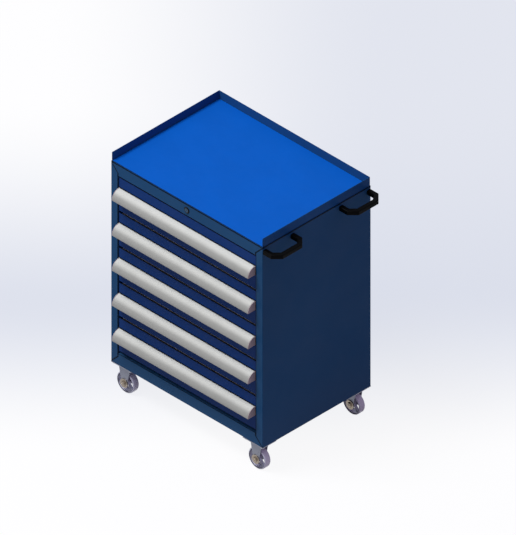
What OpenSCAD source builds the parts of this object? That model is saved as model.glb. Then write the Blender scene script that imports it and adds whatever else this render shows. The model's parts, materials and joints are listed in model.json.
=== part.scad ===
// Heavy-duty tool cabinet: a folded steel body on four swivel casters, five drawers
// on telescopic slides with one central lock, a lipped tray with a mat on top and
// two push handles on the right side.
// Millimetres, +Z up, drawers face -Y. The origin lies on the floor, under the
// middle of the whole object.

/* [Body] */
// Width of the cabinet body
body_w = 700; // [640:10:900]
// Depth of the cabinet body
body_d = 500; // [490:10:650]
// Height of the cabinet body, without casters and tray lips
body_h = 800; // [760:10:900]
// Thickness of the folded body sheets
sheet_t = 1.5; // [1.2:0.1:2]
// Outer radius of the folds of the body sheets
bend_r = 2.25; // [2.1:0.05:3]
// Face width of each front stile
stile_w = 32; // [30:1:36]
// Face height of the top and bottom rails
rail_h = 45; // [42:1:50]
// Depth of the folds behind the front frame
return_d = 20; // [16:1:24]
// Width of the fold behind the back panel
rear_fold_w = 20; // [15:1:28]
// Open seam between folded sheets that meet
seam = 1; // [0.8:0.1:1.4]

/* [Tray and mat] */
// Height of the tray lips above the body
lip_h = 35; // [20:1:50]
// Thickness of the tray sheet
tray_t = 1.2; // [1:0.1:2]
// Ledge of the roof left bare around the tray
tray_inset = 2; // [1:0.5:5]
// Thickness of the top mat
mat_t = 1.6; // [1:0.2:4]
// Gap between the mat and the tray lips
mat_gap = 0.5; // [0.3:0.1:2]

/* [Drawers] */
// Gap above the top drawer front
gap_above = 5; // [4:1:8]
// Gap between two drawer fronts
gap_between = 8; // [5:1:10]
// Gap below the lowest drawer front
gap_below = 11; // [8:1:14]
// Gap beside each drawer front
gap_side = 2; // [1:0.5:4]
// Depth of the drawer fronts behind the front frame
front_recess = 3; // [0:0.5:5]
// Thickness of the drawer fronts
front_t = 1.5; // [1:0.1:2]
// Thickness of the drawer box sheets
box_t = 1; // [0.8:0.1:1.5]
// Space behind the drawer boxes for the lock bar
rear_space = 30.5; // [28:0.5:36]
// Height of the drawer box sides
box_side_h = 100; // [90:1:110]
// Height of the drawer box floor above the lower edge of its front
box_raise = 10; // [6:1:14]
// Depth of the flange along the top of the drawer box front
box_flange = 15; // [8:1:25]

/* [Pulls] */
// Depth of the pulls in front of the drawer fronts
pull_depth = 35; // [28:1:40]
// Wall thickness of the pulls
pull_t = 2; // [1.5:0.1:3]
// Height of the upright lip at the front of a pull
pull_lip = 2; // [1:0.5:8]
// Drop of the pulls below the top edge of the drawer fronts
pull_drop = 40; // [20:1:60]
// Inset of the pulls at each end of the drawer fronts
pull_inset = 1; // [0:0.5:5]
// Thickness of the end caps of the pulls
cap_t = 3; // [2:0.5:5]

/* [Slides and uprights] */
// Thickness of one closed slide
slide_t = 12.7; // [12.5:0.1:14]
// Height of the outer slide member
slide_h = 45; // [42:1:50]
// How much shorter the slides are than the drawer boxes
slide_short = 12; // [10:1:30]
// Sheet thickness of the slide members
slide_sheet = 1.5; // [1.2:0.1:1.6]
// Running gap between the slide members
slide_gap = 0.4; // [0.3:0.05:0.5]
// Set-back of the slides behind the cabinet front
slide_back = 8; // [7:1:12]
// Height of the slide centres above the drawer box floor
slide_rise = 45; // [30:1:60]
// Width of a slotted upright
upright_w = 40; // [30:1:50]
// Sheet thickness of the uprights
upright_t = 2; // [1.5:0.1:2.5]
// Length of a slot in the uprights
slot_len = 16; // [8:1:20]
// Height of a slot in the uprights
slot_h = 5; // [3:1:8]

/* [Casters] */
// Diameter of the wheels
wheel_d = 80; // [70:1:90]
// Width of the wheels over the tread
wheel_w = 25; // [20:1:30]
// Drop from the cabinet bottom to the wheel axle
axle_drop = 73.5; // [70:0.5:85]
// Width of a caster plate along the cabinet front
plate_w = 92; // [86:1:105]
// Depth of a caster plate
plate_d = 64; // [60:1:80]
// Thickness of the caster plates and forks
plate_t = 3; // [2.5:0.5:3]
// Width of the fork at its crown
fork_top_w = 50; // [44:1:56]
// Width of the fork at the axle
fork_foot_w = 27; // [24:1:32]
// Length of the axle over its hub nuts
axle_len = 54; // [50:1:60]

/* [Push handles] */
// Distance between the two feet of a push handle
handle_pitch = 128; // [112:8:160]
// Reach of the grip's centre line from the side panel
handle_out = 56; // [50:1:70]
// Thickness of the grip
handle_t = 18; // [16:1:22]
// Length of the 45 degree corners, measured along the side panel
handle_corner = 23; // [15:1:30]
// Distance of the nearest foot from the front or back edge
handle_edge = 10; // [10:1:40]
// Drop of the grip's centre line below the body top
handle_drop = 19; // [17:1:24]
// Radius of the grip's long edges
handle_edge_r = 4; // [2:0.5:6]

/* [Lock] */
// Diameter of the lock's collar
lock_collar_d = 20; // [19:1:24]
// Diameter of the lock's body
lock_body_d = 16; // [15:1:17]
// Diameter of the lock cylinder
lock_plug_d = 12; // [10:1:13]
// Diameter of the lock rod
lock_rod_d = 8; // [6:1:9]
// Radius at which the crank pin turns
crank_r = 8; // [7:0.5:9]

/* [Hidden] */
$fn = 48;
drawer_count = 5;
slots_for_each_drawer = 2;
spoke_count = 5;
hex_sides = 6;
right_angle = 90;
half_right_angle = 45;
full_turn = 360;

// Clearances and overrun of cuts
cut_over = 1;
screw_gap = 0.05;
hole_gap = 0.2;
run_gap = 0.08;
swivel_gap = 0.4;

// Levels and overall places
bottom_z = wheel_d / 2 + axle_drop;
top_z = bottom_z + body_h;
handle_reach = handle_out + handle_t / 2;
pull_reach = pull_depth - front_recess;
shift_x = -(body_w + handle_reach) / 2;
shift_y = -(body_d - pull_reach) / 2;

// Front opening and drawers
opening_w = body_w - 2 * stile_w;
opening_h = body_h - 2 * rail_h;
front_h = (opening_h - gap_above - gap_below - (drawer_count - 1) * gap_between) / drawer_count;
front_w = opening_w - 2 * gap_side;
drawer_pitch = front_h + gap_between;
front_y = front_recess;
box_y = front_recess + front_t;
box_back_y = body_d - 2 * sheet_t - rear_space;
slide_len = box_back_y - box_y - slide_short;
box_w = opening_w - 2 * slide_t;
box_x = stile_w + slide_t;
function front_z(i) = top_z - rail_h - gap_above - front_h - (i - 1) * drawer_pitch;
function box_z(i) = front_z(i) + box_raise;
function slide_z(i) = box_z(i) + slide_rise;

// Pulls
pull_r = pull_depth - pull_t;
pull_h = pull_r + pull_lip;
pull_len = front_w - 2 * pull_inset;
pull_x = stile_w + gap_side + pull_inset;

// Slides, measured from the upright towards the drawer box
mid_start = slide_sheet + slide_gap;
inner_start = slide_t - slide_sheet;
outer_flange = 9.5;
mid_end = inner_start - slide_gap / 2;
inner_flange_start = mid_start + slide_sheet + slide_gap;
mid_h = slide_h - 2 * (slide_sheet + slide_gap);
inner_h = mid_h - 2 * (slide_sheet + slide_gap);

// Top mat
mat_x = tray_inset + tray_t + mat_gap;

// Caster pieces, measured from the cabinet bottom and the swivel axis
plate_x = plate_w / 2;
plate_y = plate_d / 2;
race_d = 44;
race_h = 8;
king_d = 12;
king_head_d = 20;
king_head_h = 5;
crown_top = plate_t + race_h + swivel_gap;
crown_bottom = crown_top + plate_t;
wheel_side_gap = 1.5;
leg_in = wheel_w / 2 + wheel_side_gap;
leg_out = leg_in + plate_t;
axle_d = 8;
hub_cap_d = 34;
hub_cap_h = 3.5;
hub_nut_d = 20;
axle_proud = 1.5;
rim_t = 6;
tread_r = 4;
spoke_w = 8;
web_w = 8;
wheel_hub_d = 26;
hub_gap = 0.5;

// Fixing screws
screw_d = 6;
screw_len = 14;
head_d = 11.5;
head_h = 4;
nut_h = 5;
plate_hole_edge_x = 9;
plate_hole_edge_y = 8;
thread_depth = 16;

// The uprights stand over the inner screws of the caster plates
upright_front_y = plate_d - plate_hole_edge_y - upright_w / 2;
upright_rear_y = body_d - plate_d + plate_hole_edge_y - upright_w / 2;

// Lock
lock_x = body_w / 2;
lock_z = top_z - rail_h / 2;
lock_collar_t = 2.5;
lock_face_in = 0.5;
lock_body_len = 24;
lock_nut_d = 26;
lock_nut_t = 5;
lock_plug_len = 30;
key_slot_w = 1.6;
key_slot_h = 8;
key_slot_depth = 12;
crank_t = 3;
crank_pin_d = 5;
crank_rim = 2.5;
crank_d = 2 * (crank_r + crank_rim) + crank_pin_d;
bar_w = 24;
bar_t = 3;
bar_top_rim = 6;
bar_foot = 30;
crank_gap = 2;
pin_gap = 0.4;
pin_rest = crank_r * cos(half_right_angle);
catch_w = 20;
catch_t = 2;
catch_lip = 8;
catch_rise = 60;
hook_w = 16;
hook_t = 3;
hook_back = 4;
hook_tip = 4;
hook_gap = 4;
hook_drop = 10;
bar_clear = 2.5;
guide_depth = 14;
bar_y = body_d - 2 * sheet_t - guide_depth;
catch_back_y = bar_y - bar_clear;
crank_y = bar_y - crank_gap - crank_t;
guide_w = 36;
guide_h = 20;
guide_wall = 1.2;
guide_slot = 0.3;
bearing_w = 20;
bearing_d = 15;
bearing_below = 5;
bearing_front_y = 60;
bearing_back = 22;

corner_names = ["front_left", "front_right", "rear_left", "rear_right"];
corner_x = [plate_x, body_w - plate_x, plate_x, body_w - plate_x];
corner_y = [plate_y, plate_y, body_d - plate_y, body_d - plate_y];

// Placing helpers

module placed() {
    translate([shift_x, shift_y, 0]) children();
}

// A block between two places on each axis
module block(xs, ys, zs) {
    translate([xs[0], ys[0], zs[0]])
        cube([xs[1] - xs[0], ys[1] - ys[0], zs[1] - zs[0]]);
}

// A piece made for the left side, repeated on the right
module both_sides() {
    children();
    right_side() children();
}

module right_side() {
    translate([body_w, 0, 0]) mirror([1, 0, 0]) children();
}

// A flat outline in X and Z, pushed along +Y from y0 to y1
module upright_plate(y0, y1) {
    translate([0, y1, 0])
        rotate([right_angle, 0, 0])
            linear_extrude(height = y1 - y0) children();
}

// A flat outline in Y and Z, pushed along +X from x0 to x1
module long_profile(x0, x1) {
    translate([x0, 0, 0])
        rotate([right_angle, 0, right_angle])
            linear_extrude(height = x1 - x0) children();
}

// A round bar along +Y
module bar_y_axis(d, y0, y1) {
    translate([0, y1, 0])
        rotate([right_angle, 0, 0])
            cylinder(d = d, h = y1 - y0);
}

module hex_prism(d, h) {
    cylinder(d = d, h = h, $fn = hex_sides);
}

// Rectangle with all four corners rounded
module rounded_rect(w, d, r) {
    translate([r, 0]) square([w - 2 * r, d]);
    translate([0, r]) square([w, d - 2 * r]);
    for (x = [r, w - r], y = [r, d - r])
        translate([x, y]) circle(r = r);
}

// Body shell

// Plan of one side panel with its stile and its rear fold
module side_plan() {
    difference() {
        rounded_rect(stile_w, body_d, bend_r);
        translate([sheet_t, sheet_t])
            rounded_rect(stile_w - 2 * sheet_t, body_d - 2 * sheet_t, bend_r - sheet_t);
        translate([rear_fold_w, return_d])
            square([stile_w, body_d]);
    }
}

// Corner cut of a stile, in X and Z, measured from its outer corner
module stile_mitre() {
    polygon([
        [0, -seam],
        [stile_w + cut_over, -stile_w - cut_over - seam],
        [stile_w + cut_over, cut_over],
        [0, cut_over]
    ]);
}

module side_panel() {
    difference() {
        translate([0, 0, bottom_z + sheet_t])
            linear_extrude(height = body_h - 2 * sheet_t) side_plan();
        upright_plate(-cut_over, return_d + cut_over)
            translate([0, top_z]) stile_mitre();
        upright_plate(-cut_over, return_d + cut_over)
            translate([0, bottom_z]) mirror([0, 1]) stile_mitre();
    }
}

module side_panel_left() {
    color("#21374f") placed() side_panel();
}

module side_panel_right() {
    color("#21374f") placed()
        difference() {
            right_side() side_panel();
            for (y = handle_feet)
                translate([body_w - sheet_t - cut_over, y, top_z - handle_drop])
                    rotate([0, right_angle, 0])
                        cylinder(d = screw_d + 2 * hole_gap, h = sheet_t + 2 * cut_over);
        }
}

module back_panel() {
    color("#21374f") placed()
        block(
            [sheet_t + seam, body_w - sheet_t - seam],
            [body_d - 2 * sheet_t, body_d - sheet_t],
            [bottom_z + sheet_t, top_z - sheet_t]
        );
}

// Side view of a horizontal panel with a rail folded up along its front.
// Y runs to the back, the panel lies at the bottom.
module rail_side_view() {
    difference() {
        rounded_rect(body_d + bend_r, rail_h, bend_r);
        translate([sheet_t, sheet_t])
            rounded_rect(body_d, rail_h - 2 * sheet_t, bend_r - sheet_t);
        translate([return_d, sheet_t])
            square([body_d, rail_h]);
        translate([body_d, -cut_over])
            square([body_d, rail_h]);
    }
}

// What is cut from both ends of the folded rail, so that it meets the stiles
module rail_end_cut() {
    upright_plate(-cut_over, return_d + cut_over)
        polygon([
            [-cut_over, sheet_t],
            [sheet_t, sheet_t],
            [stile_w + seam, stile_w + seam],
            [stile_w + seam, rail_h + cut_over],
            [-cut_over, rail_h + cut_over]
        ]);
}

module railed_panel() {
    difference() {
        long_profile(0, body_w) rail_side_view();
        both_sides() rail_end_cut();
    }
}

module caster_holes() {
    for (c = [0 : len(corner_names) - 1])
        translate([corner_x[c], corner_y[c], 0])
            plate_hole_places()
                translate([0, 0, -cut_over])
                    cylinder(d = screw_d + 2 * hole_gap, h = sheet_t + 2 * cut_over);
}

module base_pan() {
    color("#21374f") placed()
        translate([0, 0, bottom_z])
            difference() {
                railed_panel();
                caster_holes();
            }
}

module roof_panel() {
    color("#21374f") placed()
        difference() {
            translate([0, 0, top_z]) mirror([0, 0, 1]) railed_panel();
            translate([lock_x, 0, lock_z])
                bar_y_axis(lock_body_d + 2 * hole_gap, -cut_over, sheet_t + cut_over);
        }
}

// Tray with a lip on the left, the back and the right
module top_tray() {
    color("#103a80") placed()
        difference() {
            block(
                [tray_inset, body_w - tray_inset],
                [tray_inset, body_d - tray_inset],
                [top_z, top_z + lip_h]
            );
            block(
                [tray_inset + tray_t, body_w - tray_inset - tray_t],
                [tray_inset - cut_over, body_d - tray_inset - tray_t],
                [top_z + tray_t, top_z + lip_h + cut_over]
            );
        }
}

module top_mat() {
    color("#105cc1") placed()
        block(
            [mat_x, body_w - mat_x],
            [tray_inset + mat_gap, body_d - mat_x],
            [top_z + tray_t, top_z + tray_t + mat_t]
        );
}

// Uprights and slides

// Plan of a left upright: a channel open towards the side panel
module upright_plan() {
    difference() {
        translate([sheet_t, 0]) square([stile_w - sheet_t, upright_w]);
        translate([sheet_t - cut_over, upright_t])
            square([stile_w - sheet_t + cut_over - upright_t, upright_w - 2 * upright_t]);
    }
}

module upright() {
    slot_pitch = drawer_pitch / slots_for_each_drawer;
    difference() {
        translate([0, 0, bottom_z + sheet_t])
            linear_extrude(height = body_h - 2 * sheet_t) upright_plan();
        for (k = [0 : drawer_count * slots_for_each_drawer - 1])
            block(
                [stile_w - upright_t - cut_over, stile_w + cut_over],
                [(upright_w - slot_len) / 2, (upright_w + slot_len) / 2],
                [front_z(drawer_count) + k * slot_pitch, front_z(drawer_count) + k * slot_pitch + slot_h]
            );
    }
}

module slide_uprights() {
    color("#21374f") placed()
        both_sides()
            for (y = [upright_front_y, upright_rear_y])
                translate([0, y, 0]) upright();
}

// Outline of one slide member in X and Z: a channel with its web at x0
module channel(x0, x1, h) {
    difference() {
        translate([x0, -h / 2]) square([x1 - x0, h]);
        translate([x0 + slide_sheet, -h / 2 + slide_sheet])
            square([x1 - x0, h - 2 * slide_sheet]);
    }
}

module slide_pair(i) {
    both_sides()
        translate([stile_w, 0, slide_z(i)])
            upright_plate(slide_back, slide_back + slide_len) children();
}

module outer_slides() {
    color("silver") placed()
        for (i = [1 : drawer_count])
            slide_pair(i) channel(0, outer_flange, slide_h);
}

module middle_slides(i) {
    color("silver") placed()
        slide_pair(i) channel(mid_start, mid_end, mid_h);
}

module inner_slides(i) {
    color("silver") placed()
        slide_pair(i)
            translate([slide_t + inner_flange_start, 0])
                mirror([1, 0]) channel(inner_flange_start, slide_t, inner_h);
}

// Drawers

module drawer_box(i) {
    side_top = box_z(i) + box_side_h;
    front_top = front_z(i) + front_h - box_t;
    inside_x = [box_x + box_t, box_x + box_w - box_t];
    color("gainsboro") placed() {
        difference() {
            block([box_x, box_x + box_w], [box_y, box_back_y], [box_z(i), front_top]);
            block(inside_x, [box_y + box_t, box_back_y - box_t], [box_z(i) + box_t, front_top - box_t]);
            block(
                [box_x - cut_over, box_x + box_w + cut_over],
                [box_y + box_flange, box_back_y + cut_over],
                [side_top, front_top + cut_over]
            );
        }
        drawer_catch(box_z(i) + catch_rise);
    }
}

// Hooked tab behind the drawer box that the lock bar holds
module drawer_catch(z) {
    xs = [lock_x - catch_w / 2, lock_x + catch_w / 2];
    block(xs, [box_back_y - box_t, catch_back_y], [z, z + catch_t]);
    block(xs, [catch_back_y - catch_t, catch_back_y], [z, z + catch_t + catch_lip]);
}

module drawer_front(i) {
    color("#1a3162") placed()
        block(
            [stile_w + gap_side, stile_w + gap_side + front_w],
            [front_y, front_y + front_t],
            [front_z(i), front_z(i) + front_h]
        );
}

// Side outline of a pull, with Y to the front of the cabinet turned positive
module pull_outline(r) {
    intersection() {
        translate([pull_t, pull_lip]) circle(r = r, $fn = 2 * $fn);
        translate([pull_t, pull_lip]) square(r);
    }
    translate([pull_t, 0]) square([r, pull_lip]);
}

module pull_solid_outline() {
    pull_outline(pull_r);
    square([pull_t, pull_h]);
}

module pull_hollow_outline() {
    difference() {
        pull_solid_outline();
        pull_outline(pull_r - pull_t);
        translate([pull_t, -cut_over]) square([pull_r - pull_t, pull_lip + cut_over]);
    }
}

module pull_place(i, x0, x1) {
    translate([0, front_y, front_z(i) + front_h - pull_drop - pull_h])
        mirror([0, 1, 0])
            long_profile(x0, x1) children();
}

module drawer_pull(i) {
    color("#d8d8d8") placed()
        pull_place(i, pull_x + cap_t, pull_x + pull_len - cap_t) pull_hollow_outline();
}

module pull_end_caps(i) {
    color("#695c64") placed() {
        pull_place(i, pull_x, pull_x + cap_t) pull_solid_outline();
        pull_place(i, pull_x + pull_len - cap_t, pull_x + pull_len) pull_solid_outline();
    }
}

// Push handles

handle_feet = [
    handle_edge,
    handle_edge + handle_pitch,
    body_d - handle_edge - handle_pitch,
    body_d - handle_edge
];

// Centre line of a push handle in plan, from one foot to the other, and the
// direction of each straight run along it
grip_leg = handle_out - handle_corner;
grip_path = [
    [0, 0],
    [grip_leg, 0],
    [handle_out, handle_corner],
    [handle_out, handle_pitch - handle_corner],
    [grip_leg, handle_pitch],
    [0, handle_pitch]
];
grip_runs = len(grip_path) - 1;
grip_corner_steps = 3;
grip_sides = 4 * (grip_corner_steps + 1);

function run_angle(k) = min(max(k, 0), grip_runs - 1) * half_right_angle;

// Sideways direction of the grip's section at point k, longer at a mitre
function grip_side(k) =
    let (before = run_angle(k - 1), after = run_angle(k), middle = (before + after) / 2)
        [-sin(middle), cos(middle)] / cos((after - before) / 2);

// Rounded square section: sideways and upward places, corner after corner
grip_section = [
    for (corner = [0 : 3], step = [0 : grip_corner_steps])
        let (
            turn = right_angle * (corner + step / grip_corner_steps),
            flat = handle_t / 2 - handle_edge_r,
            sx = corner == 0 || corner == 3 ? 1 : -1,
            sy = corner < 2 ? 1 : -1
        )
            [sx * flat + handle_edge_r * cos(turn), sy * flat + handle_edge_r * sin(turn)]
];

grip_points = [
    for (k = [0 : grip_runs], p = grip_section)
        let (side = grip_path[k] + p[0] * grip_side(k))
            [side[0], side[1], p[1]]
];

grip_walls = [
    for (k = [0 : grip_runs - 1], j = [0 : grip_sides - 1])
        let (next = (j + 1) % grip_sides, here = k * grip_sides, there = here + grip_sides)
            [here + j, here + next, there + next, there + j]
];

grip_ends = [
    [for (j = [grip_sides - 1 : -1 : 0]) j],
    [for (j = [0 : grip_sides - 1]) grip_runs * grip_sides + j]
];

module push_handle(y0) {
    color("#161616") placed()
        translate([body_w, y0, top_z - handle_drop])
            difference() {
                polyhedron(points = grip_points, faces = concat(grip_walls, grip_ends));
                for (y = [0, handle_pitch])
                    translate([-cut_over, y, 0])
                        rotate([0, right_angle, 0])
                            cylinder(d = screw_d + 2 * screw_gap, h = thread_depth + cut_over);
            }
}

module push_handle_front() {
    push_handle(handle_feet[0]);
}

module push_handle_rear() {
    push_handle(handle_feet[2]);
}

// Casters

module plate_hole_places() {
    for (sx = [-1, 1], sy = [-1, 1])
        translate([
            sx * (plate_w / 2 - plate_hole_edge_x),
            sy * (plate_d / 2 - plate_hole_edge_y),
            0
        ]) children();
}

module at_corner(c) {
    placed() translate([corner_x[c], corner_y[c], bottom_z]) children();
}

// Top plate with its ball race and king pin, hanging from the cabinet bottom
module caster_plate() {
    difference() {
        translate([-plate_w / 2, -plate_d / 2, -plate_t])
            cube([plate_w, plate_d, plate_t]);
        plate_hole_places()
            translate([0, 0, -plate_t - cut_over])
                cylinder(d = screw_d + 2 * hole_gap, h = plate_t + 2 * cut_over);
    }
    translate([0, 0, -plate_t - race_h]) cylinder(d = race_d, h = race_h);
    translate([0, 0, -crown_bottom - swivel_gap])
        cylinder(d = king_d, h = crown_bottom + swivel_gap - plate_t);
    translate([0, 0, -crown_bottom - swivel_gap - king_head_h])
        cylinder(d = king_head_d, h = king_head_h);
}

module caster_plates() {
    for (c = [0 : len(corner_names) - 1])
        color("#747886") at_corner(c) caster_plate();
}

// Outline of a fork leg in X and Z: wide at the crown, round at the axle
module leg_outline() {
    foot_r = fork_foot_w / 2;
    lean = atan((fork_top_w - fork_foot_w) / 2 / (axle_drop - crown_top));
    difference() {
        union() {
            polygon([
                [-fork_top_w / 2, -crown_top],
                [fork_top_w / 2, -crown_top],
                [foot_r * cos(lean), -axle_drop - foot_r * sin(lean)],
                [-foot_r * cos(lean), -axle_drop - foot_r * sin(lean)]
            ]);
            translate([0, -axle_drop]) circle(d = fork_foot_w);
        }
        translate([0, -axle_drop]) circle(d = axle_d + 2 * screw_gap);
    }
}

module caster_fork(c) {
    color("#747886") at_corner(c) {
        upright_plate(-leg_out, -leg_in) leg_outline();
        upright_plate(leg_in, leg_out) leg_outline();
        difference() {
            translate([-fork_top_w / 2, -leg_out, -crown_bottom])
                cube([fork_top_w, 2 * leg_out, plate_t]);
            translate([0, 0, -crown_bottom - cut_over])
                cylinder(d = king_d + 2 * run_gap, h = plate_t + 2 * cut_over);
        }
    }
}

// Half outline of the wheel rim with rounded tread edges
module rim_outline() {
    intersection() {
        translate([0, -wheel_w / 2])
            rounded_rect(wheel_d / 2, wheel_w, tread_r);
        translate([wheel_d / 2 - rim_t, -wheel_w / 2])
            square([rim_t, wheel_w]);
    }
}

module caster_wheel(c) {
    hub_w = 2 * (leg_in - hub_gap);
    rim_in = wheel_d / 2 - rim_t;
    color("#babfdc") at_corner(c)
        translate([0, 0, -axle_drop])
            rotate([right_angle, 0, 0])
                difference() {
                    union() {
                        rotate_extrude(angle = full_turn) rim_outline();
                        translate([0, 0, -hub_w / 2]) cylinder(d = wheel_hub_d, h = hub_w);
                        for (k = [0 : spoke_count - 1])
                            rotate([0, 0, right_angle + k * full_turn / spoke_count])
                                translate([0, -spoke_w / 2, -web_w / 2])
                                    cube([rim_in + rim_t / 2, spoke_w, web_w]);
                    }
                    translate([0, 0, -hub_w / 2 - cut_over])
                        cylinder(d = axle_d + 2 * run_gap, h = hub_w + 2 * cut_over);
                }
}

module caster_axle(c) {
    color("#968c82") at_corner(c)
        translate([0, 0, -axle_drop]) {
            bar_y_axis(axle_d, -axle_len / 2, axle_len / 2);
            for (s = [-1, 1]) {
                translate([0, s * (leg_out + hub_cap_h / 2), 0])
                    bar_y_axis(hub_cap_d, -hub_cap_h / 2, hub_cap_h / 2);
                translate([0, s * leg_out, 0])
                    rotate([-s * right_angle, 0, 0])
                        hex_prism(hub_nut_d, axle_len / 2 - leg_out - axle_proud);
            }
        }
}

// Hex screws under the caster plates with nuts on the base pan, and hex screws
// from inside the right side panel into the push handles
module hex_screw() {
    translate([0, 0, -head_h]) hex_prism(head_d, head_h);
    translate([0, 0, -head_h / 2]) cylinder(d = screw_d, h = screw_len + head_h / 2);
}

module hex_nut() {
    difference() {
        hex_prism(head_d, nut_h);
        translate([0, 0, -cut_over]) cylinder(d = screw_d + 2 * screw_gap, h = nut_h + 2 * cut_over);
    }
}

module fixing_screws() {
    color("silver") {
        for (c = [0 : len(corner_names) - 1])
            at_corner(c)
                plate_hole_places() {
                    translate([0, 0, -plate_t]) hex_screw();
                    translate([0, 0, sheet_t]) hex_nut();
                }
        placed()
            for (y = handle_feet)
                translate([body_w - sheet_t, y, top_z - handle_drop])
                    rotate([0, right_angle, 0]) hex_screw();
    }
}

// Central lock

module at_lock() {
    placed() translate([lock_x, 0, lock_z]) children();
}

module lock_housing() {
    color("silver") at_lock() {
        difference() {
            union() {
                bar_y_axis(lock_collar_d, -lock_collar_t, 0);
                bar_y_axis(lock_body_d, -lock_collar_t / 2, lock_body_len);
            }
            bar_y_axis(lock_plug_d + 2 * run_gap, -lock_collar_t - cut_over, lock_body_len + cut_over);
        }
        difference() {
            translate([0, sheet_t, 0])
                rotate([-right_angle, 0, 0]) hex_prism(lock_nut_d, lock_nut_t);
            bar_y_axis(lock_body_d + 2 * screw_gap, sheet_t - cut_over, sheet_t + lock_nut_t + cut_over);
        }
    }
}

module lock_cylinder() {
    front = -lock_collar_t + lock_face_in;
    color("gray") at_lock()
        difference() {
            bar_y_axis(lock_plug_d, front, lock_plug_len);
            block(
                [-key_slot_w / 2, key_slot_w / 2],
                [front - cut_over, key_slot_depth],
                [-key_slot_h / 2, key_slot_h / 2]
            );
        }
}

// Rod from the cylinder to the rear, with a crank disc and its pin
module lock_rod() {
    color("silver") at_lock() {
        bar_y_axis(lock_rod_d, lock_plug_len, crank_y + crank_t / 2);
        bar_y_axis(crank_d, crank_y, crank_y + crank_t);
        translate([pin_rest, 0, pin_rest])
            bar_y_axis(crank_pin_d, crank_y + crank_t / 2, bar_y + bar_t + crank_gap);
    }
}

// Hook of the lock bar above one drawer catch; z is the top of the catch lip
module bar_hook(z) {
    xs = [-hook_w / 2, hook_w / 2];
    tip_y = box_back_y + hook_back;
    tip_z = z + hook_gap;
    block(xs, [tip_y, tip_y + hook_tip], [tip_z, tip_z + hook_drop + hook_t]);
    block(xs, [tip_y, bar_y + bar_t / 2], [tip_z + hook_drop, tip_z + hook_drop + hook_t]);
}

module lock_bar() {
    slot_h_in = crank_pin_d + 2 * pin_gap;
    slot_x0 = pin_rest - crank_pin_d / 2 - pin_gap;
    slot_x1 = crank_r + crank_pin_d / 2 + pin_gap;
    bar_top = pin_rest + slot_h_in / 2 + bar_top_rim;
    bar_bottom = box_z(drawer_count) - lock_z + bar_foot;
    color("silver") at_lock() {
        difference() {
            block([-bar_w / 2, bar_w / 2], [bar_y, bar_y + bar_t], [bar_bottom, bar_top]);
            block(
                [slot_x0, slot_x1],
                [bar_y - cut_over, bar_y + bar_t + cut_over],
                [pin_rest - slot_h_in / 2, pin_rest + slot_h_in / 2]
            );
        }
        for (i = [1 : drawer_count])
            bar_hook(box_z(i) + catch_rise + catch_t + catch_lip - lock_z);
    }
}

// Block on the back panel that the lock bar slides through
module bar_guide(z) {
    wall_y = bar_y - guide_slot - guide_wall;
    difference() {
        block(
            [-guide_w / 2, guide_w / 2],
            [wall_y, body_d - 2 * sheet_t],
            [z - guide_h / 2, z + guide_h / 2]
        );
        block(
            [-bar_w / 2 - guide_slot, bar_w / 2 + guide_slot],
            [bar_y - guide_slot, bar_y + bar_t + guide_slot],
            [z - guide_h / 2 - cut_over, z + guide_h / 2 + cut_over]
        );
    }
}

// Block under the roof that the lock rod turns in
module rod_bearing(y) {
    difference() {
        block(
            [-bearing_w / 2, bearing_w / 2],
            [y, y + bearing_d],
            [-lock_rod_d / 2 - bearing_below, rail_h / 2 - sheet_t]
        );
        bar_y_axis(lock_rod_d + 2 * run_gap, y - cut_over, y + bearing_d + cut_over);
    }
}

module lock_guides() {
    guide_levels = [drawer_count, round(drawer_count / 2), 1];
    color("#2b2b2b") at_lock() {
        for (i = guide_levels)
            bar_guide(box_z(i) + slide_rise - lock_z);
        rod_bearing(bearing_front_y);
        rod_bearing(crank_y - bearing_back);
    }
}

// Drawing one node or all of them

side_panel_left();
side_panel_right();
back_panel();
base_pan();
roof_panel();
top_tray();
top_mat();
slide_uprights();
outer_slides();
caster_plates();
fixing_screws();
push_handle_front();
push_handle_rear();
lock_housing();
lock_guides();
lock_cylinder();
lock_rod();
lock_bar();
for (i = [1 : drawer_count]) {
    drawer_box(i);
    drawer_front(i);
    drawer_pull(i);
    pull_end_caps(i);
    inner_slides(i);
    middle_slides(i);
}
for (c = [0 : len(corner_names) - 1]) {
    caster_fork(c);
    caster_wheel(c);
    caster_axle(c);
}
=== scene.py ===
import json
import math

import bmesh
import bpy
from mathutils import Matrix, Vector


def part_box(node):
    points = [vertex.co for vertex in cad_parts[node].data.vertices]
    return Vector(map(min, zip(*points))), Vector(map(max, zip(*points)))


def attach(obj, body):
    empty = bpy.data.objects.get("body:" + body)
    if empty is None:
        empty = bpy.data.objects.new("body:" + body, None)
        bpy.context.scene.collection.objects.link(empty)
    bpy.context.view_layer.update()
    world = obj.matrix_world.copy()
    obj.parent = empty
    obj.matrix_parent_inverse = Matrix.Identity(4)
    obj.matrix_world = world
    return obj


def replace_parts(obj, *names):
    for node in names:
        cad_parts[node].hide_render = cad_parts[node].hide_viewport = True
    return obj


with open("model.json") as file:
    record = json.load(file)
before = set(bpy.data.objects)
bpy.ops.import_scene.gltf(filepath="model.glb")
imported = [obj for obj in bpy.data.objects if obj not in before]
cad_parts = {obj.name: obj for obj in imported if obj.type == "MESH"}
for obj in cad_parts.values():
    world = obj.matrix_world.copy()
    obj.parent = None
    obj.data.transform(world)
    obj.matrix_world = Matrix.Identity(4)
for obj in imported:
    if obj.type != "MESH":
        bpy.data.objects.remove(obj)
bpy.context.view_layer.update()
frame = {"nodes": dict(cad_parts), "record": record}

# Names that repeat on the cabinet
DRAWERS = range(1, 6)
CORNERS = ("front_left", "front_right", "rear_left", "rear_right")

# Marks that faces carry for the materials: rounded edges, and the flat flanks of the wheels
EDGE = "edge"
FLANK = "flank"

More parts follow.
